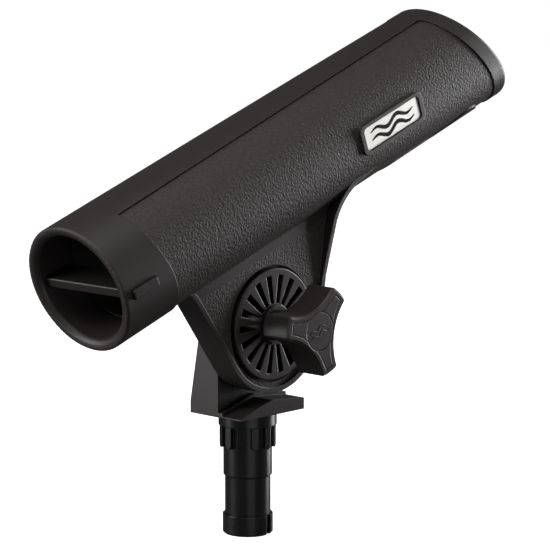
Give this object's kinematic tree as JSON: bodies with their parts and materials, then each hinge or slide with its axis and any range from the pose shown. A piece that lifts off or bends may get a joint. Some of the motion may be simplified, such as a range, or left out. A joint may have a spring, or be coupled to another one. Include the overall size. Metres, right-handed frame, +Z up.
{
  "type": "rod holder",
  "caption": "Open-ended fishing rod holder: a grained barrel with a cross bar, on a toothed tilt joint with a three-lobed clamping knob, over a splined deck post.",
  "frame": {"origin": "on the post's axis at the underside of the bracket's base plate, where the post leaves it and the plate rests on the deck socket", "axes": "+Z up along the post, +X the way the barrel climbs, -Y the side with the clamping knob"},
  "size_m": [0.2777, 0.0755, 0.2342],
  "materials": {
    "nylon_grained": "glass-filled nylon, black, moulded with a fine leather grain and smooth borders",
    "nylon_smooth": "glass-filled nylon, black, smooth moulded",
    "nylon_post": "black nylon, smooth and slightly glossy",
    "plate_metal": "thin aluminium plate, satin, blank",
    "stainless": "stainless steel, turned or stamped",
    "brass": "turned brass",
    "acetal": "natural acetal bearing sleeve"
  },
  "bodies": {
    "bracket": {"swivel_bracket": "nylon_smooth", "tooth_ring": "stainless", "ring_screws": "stainless", "pivot_bolt": "stainless", "mount_post": "nylon_post", "foot_bush": "nylon_post", "post_washer": "stainless", "post_screw": "stainless"},
    "barrel": {"rod_tube": "nylon_grained", "gimbal_bar": "nylon_smooth", "name_plate": "plate_metal", "ratchet_disc": "nylon_smooth", "pivot_bush": "acetal"},
    "thrust_washer": {"knob_washer": "nylon_smooth"},
    "clamp_knob": {"knob": "nylon_smooth", "knob_insert": "brass", "knob_cap": "nylon_smooth"}
  },
  "joints": [
    {"name": "tube_tilt", "type": "hinge", "parent": "bracket", "child": "barrel", "pos_m": [0, 0, 0.0416], "axis": [0, -1, 0], "range_deg": [-60, 60]},
    {"name": "knob_travel", "type": "slide", "parent": "bracket", "child": "thrust_washer", "axis": [0, -1, 0], "range_m": [0, 0.0045]},
    {"name": "knob_turn", "type": "hinge", "parent": "thrust_washer", "child": "clamp_knob", "pos_m": [0, -0.0366, 0.0416], "axis": [0, -1, 0], "range_deg": [0, 1080]}
  ],
  "couplings": [
    {"joint": "knob_travel", "follows": "knob_turn", "m_per_rad": 0.00022459}
  ]
}
